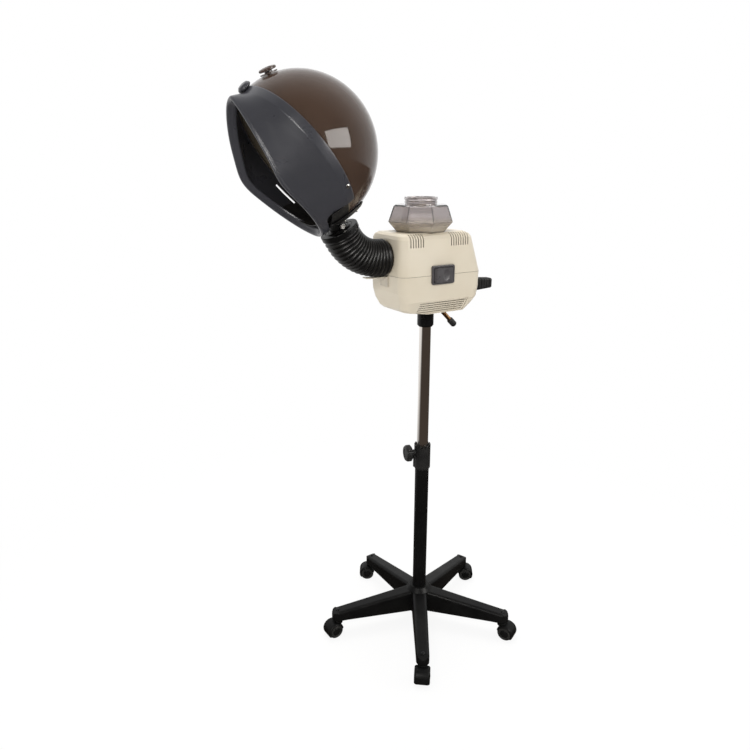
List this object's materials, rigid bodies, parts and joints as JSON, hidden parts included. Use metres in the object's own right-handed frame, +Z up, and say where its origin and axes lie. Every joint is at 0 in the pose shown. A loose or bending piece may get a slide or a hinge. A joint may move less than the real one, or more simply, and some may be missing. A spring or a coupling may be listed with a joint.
{
  "type": "salon hood steamer on a caster stand",
  "caption": "Hair salon hood steamer: domed hood with visor on a ribbed hose and arm, boiler housing with water jar, sliding column and star base on casters.",
  "frame": {"origin": "centre of the whole machine's bounding box, on the floor under its wheels", "axes": "+Z up along the column; the hood lies towards -X, the switch faces -Y, the rear grip points to +X"},
  "size_m": [0.7042, 0.4945, 1.3629],
  "materials": {
    "base_plastic": "semi-gloss black moulded nylon",
    "black_paint": "black powder coat",
    "black_plastic": "satin black moulding",
    "wheel_rubber": "matt black",
    "chrome": "polished",
    "steel": "plain steel",
    "cream_plastic": "satin cream moulding",
    "switch_grey": "satin dark grey",
    "grip_rubber": "ribbed black grip",
    "aluminium": "spun, plain",
    "brass": "dull brass",
    "hose_rubber": "satin black corrugated",
    "dome_smoke": "smoky brown clear plastic",
    "liner_plastic": "dark olive brown",
    "visor_grey": "satin slate grey",
    "dial_smoke": "brown translucent",
    "jar_clear": "smoky mauve clear plastic"
  },
  "bodies": {
    "base": {"star_base": "base_plastic", "caster_stems": "steel", "lower_tube": "black_paint", "guide_bush": "black_plastic", "clamp_collar": "black_plastic"},
    "clamp_knob": {"clamp_knob": "black_plastic"},
    "mast": {"chrome_tube": "chrome", "tube_end_plug": "black_plastic", "pivot_cap": "black_plastic"},
    "head": {"head_socket": "black_paint", "socket_nut": "steel", "housing_lower": "cream_plastic", "housing_upper": "cream_plastic", "housing_screws": "steel", "cord_gland": "black_plastic", "switch_bezel": "switch_grey", "switch_pin": "steel", "rear_grip": "grip_rubber", "boiler_tank": "aluminium", "boiler_lid": "aluminium", "heating_element": "steel", "boiler_stand": "steel", "thermostat": "black_plastic", "steam_pipe": "steel", "feed_pipe": "black_plastic", "jar_seat": "black_plastic", "drain_pipe": "brass", "terminal_block": "black_plastic", "outlet_flange": "black_plastic", "lift_pin": "steel", "hose_rest": "steel"},
    "arm": {"support_arm": "black_paint", "tilt_pin": "steel", "hose": "hose_rubber"},
    "hood": {"hood_dome": "dome_smoke", "hood_liner": "liner_plastic", "hood_visor": "visor_grey", "hood_screws": "steel", "neck_bracket": "black_plastic"},
    "water_jar": {"water_jar": "jar_clear"},
    "drain_cap": {"drain_cap": "black_plastic"},
    "switch_rocker": {"switch_rocker": "switch_grey"},
    "vent_dial": {"vent_dial": "dial_smoke"},
    "visor_knob": {"visor_knob": "visor_grey"},
    "caster_1_fork": {"caster_1_body": "base_plastic", "caster_1_axle": "steel"},
    "caster_1_rollers": {"caster_1_wheels": "wheel_rubber"},
    "caster_2_fork": {"caster_2_body": "base_plastic", "caster_2_axle": "steel"},
    "caster_2_rollers": {"caster_2_wheels": "wheel_rubber"},
    "caster_3_fork": {"caster_3_body": "base_plastic", "caster_3_axle": "steel"},
    "caster_3_rollers": {"caster_3_wheels": "wheel_rubber"},
    "caster_4_fork": {"caster_4_body": "base_plastic", "caster_4_axle": "steel"},
    "caster_4_rollers": {"caster_4_wheels": "wheel_rubber"},
    "caster_5_fork": {"caster_5_body": "base_plastic", "caster_5_axle": "steel"},
    "caster_5_rollers": {"caster_5_wheels": "wheel_rubber"}
  },
  "joints": [
    {"name": "column_slide", "type": "slide", "parent": "base", "child": "mast", "axis": [0, 0, 1], "range_m": [-0.24, 0.11]},
    {"name": "head_swivel", "type": "hinge", "parent": "mast", "child": "head", "pos_m": [0.0995, -0.0155, 0.839], "axis": [0, 0, 1], "range_deg": [-170, 170]},
    {"name": "clamp_knob_turn", "type": "hinge", "parent": "base", "child": "clamp_knob", "pos_m": [0.0995, -0.0155, 0.496], "axis": [-0.9659, 0.2588, 0], "range_deg": [0, 360]},
    {"name": "arm_lift", "type": "hinge", "parent": "head", "child": "arm", "pos_m": [-0.0245, -0.0155, 0.992], "axis": [0, 1, 0], "range_deg": [0, 15], "deforming": ["hose"]},
    {"name": "hood_tilt", "type": "hinge", "parent": "arm", "child": "hood", "pos_m": [-0.13421, -0.0155, 1.06552], "axis": [0, 1, 0], "range_deg": [-9, 24]},
    {"name": "jar_lift", "type": "slide", "parent": "head", "child": "water_jar", "axis": [0, 0, 1], "range_m": [0, 0.03]},
    {"name": "switch_rock", "type": "hinge", "parent": "head", "child": "switch_rocker", "pos_m": [0.0935, -0.0815, 0.954], "axis": [0, 0, 1], "range_deg": [-12, 0]},
    {"name": "drain_cap_pull", "type": "slide", "parent": "head", "child": "drain_cap", "axis": [0.663, -0.1653, -0.7302], "range_m": [0, 0.015]},
    {"name": "vent_dial_turn", "type": "hinge", "parent": "hood", "child": "vent_dial", "pos_m": [-0.27147, -0.0155, 1.34714], "axis": [-0.4038, 0, 0.9148], "range_deg": [0, 90]},
    {"name": "visor_knob_turn", "type": "hinge", "parent": "hood", "child": "visor_knob", "pos_m": [-0.31885, -0.0155, 1.31844], "axis": [-0.7035, 0, 0.7106], "range_deg": [0, 360]},
    {"name": "caster_1_swivel", "type": "hinge", "parent": "base", "child": "caster_1_fork", "pos_m": [-0.02368, -0.20736, 0.039], "axis": [0, 0, 1], "continuous": true},
    {"name": "caster_1_spin", "type": "hinge", "parent": "caster_1_fork", "child": "caster_1_rollers", "pos_m": [-0.03199, -0.218, 0.019], "axis": [0.788, -0.6157, 0], "continuous": true},
    {"name": "caster_2_swivel", "type": "hinge", "parent": "base", "child": "caster_2_fork", "pos_m": [0.24391, -0.19194, 0.039], "axis": [0, 0, 1], "continuous": true},
    {"name": "caster_2_spin", "type": "hinge", "parent": "caster_2_fork", "child": "caster_2_rollers", "pos_m": [0.24983, -0.20407, 0.019], "axis": [0.8988, 0.4384, 0], "continuous": true},
    {"name": "caster_3_swivel", "type": "hinge", "parent": "base", "child": "caster_3_fork", "pos_m": [0.31193, 0.06732, 0.039], "axis": [0, 0, 1], "continuous": true},
    {"name": "caster_3_spin", "type": "hinge", "parent": "caster_3_fork", "child": "caster_3_rollers", "pos_m": [0.32298, 0.05958, 0.019], "axis": [0.5736, 0.8192, 0], "continuous": true},
    {"name": "caster_4_swivel", "type": "hinge", "parent": "base", "child": "caster_4_fork", "pos_m": [0.08637, 0.21212, 0.039], "axis": [0, 0, 1], "continuous": true},
    {"name": "caster_4_spin", "type": "hinge", "parent": "caster_4_fork", "child": "caster_4_rollers", "pos_m": [0.07493, 0.21928, 0.019], "axis": [-0.5299, -0.848, 0], "continuous": true},
    {"name": "caster_5_swivel", "type": "hinge", "parent": "base", "child": "caster_5_fork", "pos_m": [-0.12104, 0.04236, 0.039], "axis": [0, 0, 1], "continuous": true},
    {"name": "caster_5_spin", "type": "hinge", "parent": "caster_5_fork", "child": "caster_5_rollers", "pos_m": [-0.13453, 0.04189, 0.019], "axis": [0.0349, -0.9994, 0], "continuous": true}
  ]
}
